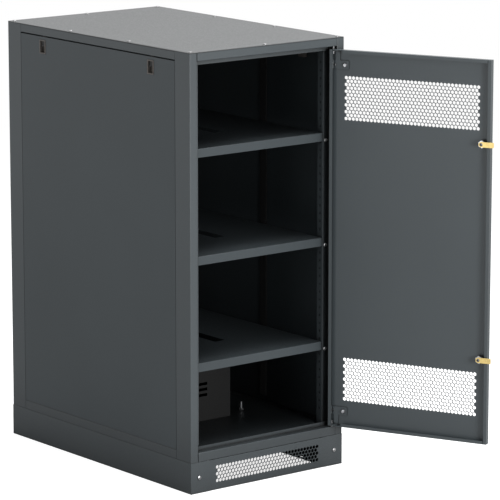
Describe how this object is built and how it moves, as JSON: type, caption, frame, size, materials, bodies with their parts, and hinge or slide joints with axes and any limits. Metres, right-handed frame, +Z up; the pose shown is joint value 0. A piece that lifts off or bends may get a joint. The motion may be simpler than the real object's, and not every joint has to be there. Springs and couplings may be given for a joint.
{
  "type": "battery cabinet",
  "caption": "Sheet steel battery cabinet on a vented plinth, with a perforated door on hinge pins, cam locks, lift-off side panels and slotted shelves.",
  "frame": {"origin": "on the floor, at the centre of the four anchor holes under the cabinet", "axes": "+Z up; the door opening faces -Y; +X is to the right for someone facing the door"},
  "size_m": [0.7935, 1.4566, 1.363],
  "materials": {
    "bezel_plastic": "grey-brown moulded plastic",
    "bolt_steel": "zinc plated",
    "box_paint": "matt black powder coat",
    "bright_zinc": "bright zinc plated",
    "cam_brass": "yellow passivated zinc, satin",
    "door_paint": "semi-gloss graphite powder coat",
    "floor_paint": "semi-gloss graphite powder coat",
    "frame_paint": "semi-gloss graphite powder coat",
    "leaf_paint": "semi-gloss graphite powder coat",
    "lock_chrome": "satin chrome",
    "panel_paint": "semi-gloss graphite powder coat, fine orange peel",
    "plinth_paint": "semi-gloss graphite powder coat",
    "rail_zinc": "zinc plated",
    "roof_paint": "semi-gloss graphite powder coat",
    "screw_zinc": "bright zinc plated",
    "shelf_paint": "semi-gloss graphite powder coat",
    "slide_plastic": "black moulded plastic",
    "spacer_plastic": "black moulded nylon",
    "spindle_steel": "zinc plated",
    "stud_steel": "zinc plated",
    "terminal_plastic": "grey moulded plastic"
  },
  "bodies": {
    "cabinet": {"breaker_box": "box_paint", "breaker_box_cover": "box_paint", "earth_stud": "stud_steel", "floor_plate": "floor_paint", "hinge_pins": "bright_zinc", "hinge_washer": "bright_zinc", "plinth_bolts": "bolt_steel", "plinth_brackets": "plinth_paint", "plinth_front": "plinth_paint", "plinth_rear": "plinth_paint", "plinth_screws": "screw_zinc", "plinth_side_left": "plinth_paint", "plinth_side_right": "plinth_paint", "post_caps": "frame_paint", "post_front_left": "frame_paint", "post_front_right": "frame_paint", "post_rear_left": "frame_paint", "post_rear_right": "frame_paint", "rail_front_bottom": "frame_paint", "rail_front_top": "frame_paint", "rail_rear_bottom": "frame_paint", "rail_rear_top": "frame_paint", "rear_panel": "panel_paint", "rear_screws": "screw_zinc", "roof_plate": "roof_paint", "roof_screws": "screw_zinc", "shelf_1": "shelf_paint", "shelf_2": "shelf_paint", "shelf_3": "shelf_paint", "shelf_angles_left": "shelf_paint", "shelf_angles_right": "shelf_paint", "shelf_screws": "screw_zinc", "side_rail_left": "frame_paint", "side_rail_right": "frame_paint", "side_sill_left": "frame_paint", "side_sill_right": "frame_paint", "terminal_blocks": "terminal_plastic", "terminal_rail": "rail_zinc"},
    "front_door": {"door_pan": "door_paint", "hinge_leaf_upper": "leaf_paint", "hinge_leaf_lower": "leaf_paint", "hinge_studs": "bright_zinc", "hinge_nuts": "bright_zinc", "lock_barrels": "lock_chrome", "lock_spacers": "spacer_plastic", "lock_nuts": "bright_zinc"},
    "lock_upper": {"lock_spindle_upper": "spindle_steel", "lock_cam_upper": "cam_brass", "cam_screw_upper": "screw_zinc"},
    "lock_lower": {"lock_spindle_lower": "spindle_steel", "lock_cam_lower": "cam_brass", "cam_screw_lower": "screw_zinc"},
    "side_panel_left": {"side_panel_left": "panel_paint", "latch_bezels_left": "bezel_plastic"},
    "latch_left_front": {"latch_slide_left_front": "slide_plastic"},
    "latch_left_rear": {"latch_slide_left_rear": "slide_plastic"},
    "side_panel_right": {"side_panel_right": "panel_paint", "latch_bezels_right": "bezel_plastic"},
    "latch_right_front": {"latch_slide_right_front": "slide_plastic"},
    "latch_right_rear": {"latch_slide_right_rear": "slide_plastic"}
  },
  "joints": [
    {"name": "door_hinge", "type": "hinge", "parent": "cabinet", "child": "front_door", "pos_m": [0.2625, -0.473, 0.7], "axis": [0, 0, 1], "range_deg": [-115, 3]},
    {"name": "lock_upper_turn", "type": "hinge", "parent": "front_door", "child": "lock_upper", "pos_m": [0.48073, -0.92679, 1.066], "axis": [0.9063, 0.4226, 0], "range_deg": [0, 90]},
    {"name": "lock_lower_turn", "type": "hinge", "parent": "front_door", "child": "lock_lower", "pos_m": [0.48073, -0.92679, 0.396], "axis": [0.9063, 0.4226, 0], "range_deg": [0, 90]},
    {"name": "side_panel_left_tilt", "type": "hinge", "parent": "cabinet", "child": "side_panel_left", "pos_m": [-0.3, 0, 0.1273], "axis": [0, -1, 0], "range_deg": [0, 20]},
    {"name": "latch_left_front_slide", "type": "slide", "parent": "side_panel_left", "child": "latch_left_front", "axis": [0, 0, 1], "range_m": [-0.008, 0], "stiffness_N_per_m": 200, "springref_m": 0.01},
    {"name": "latch_left_rear_slide", "type": "slide", "parent": "side_panel_left", "child": "latch_left_rear", "axis": [0, 0, 1], "range_m": [-0.008, 0], "stiffness_N_per_m": 200, "springref_m": 0.01},
    {"name": "side_panel_right_tilt", "type": "hinge", "parent": "cabinet", "child": "side_panel_right", "pos_m": [0.3, 0, 0.1273], "axis": [0, 1, 0], "range_deg": [0, 20]},
    {"name": "latch_right_front_slide", "type": "slide", "parent": "side_panel_right", "child": "latch_right_front", "axis": [0, 0, 1], "range_m": [-0.008, 0], "stiffness_N_per_m": 200, "springref_m": 0.01},
    {"name": "latch_right_rear_slide", "type": "slide", "parent": "side_panel_right", "child": "latch_right_rear", "axis": [0, 0, 1], "range_m": [-0.008, 0], "stiffness_N_per_m": 200, "springref_m": 0.01}
  ]
}
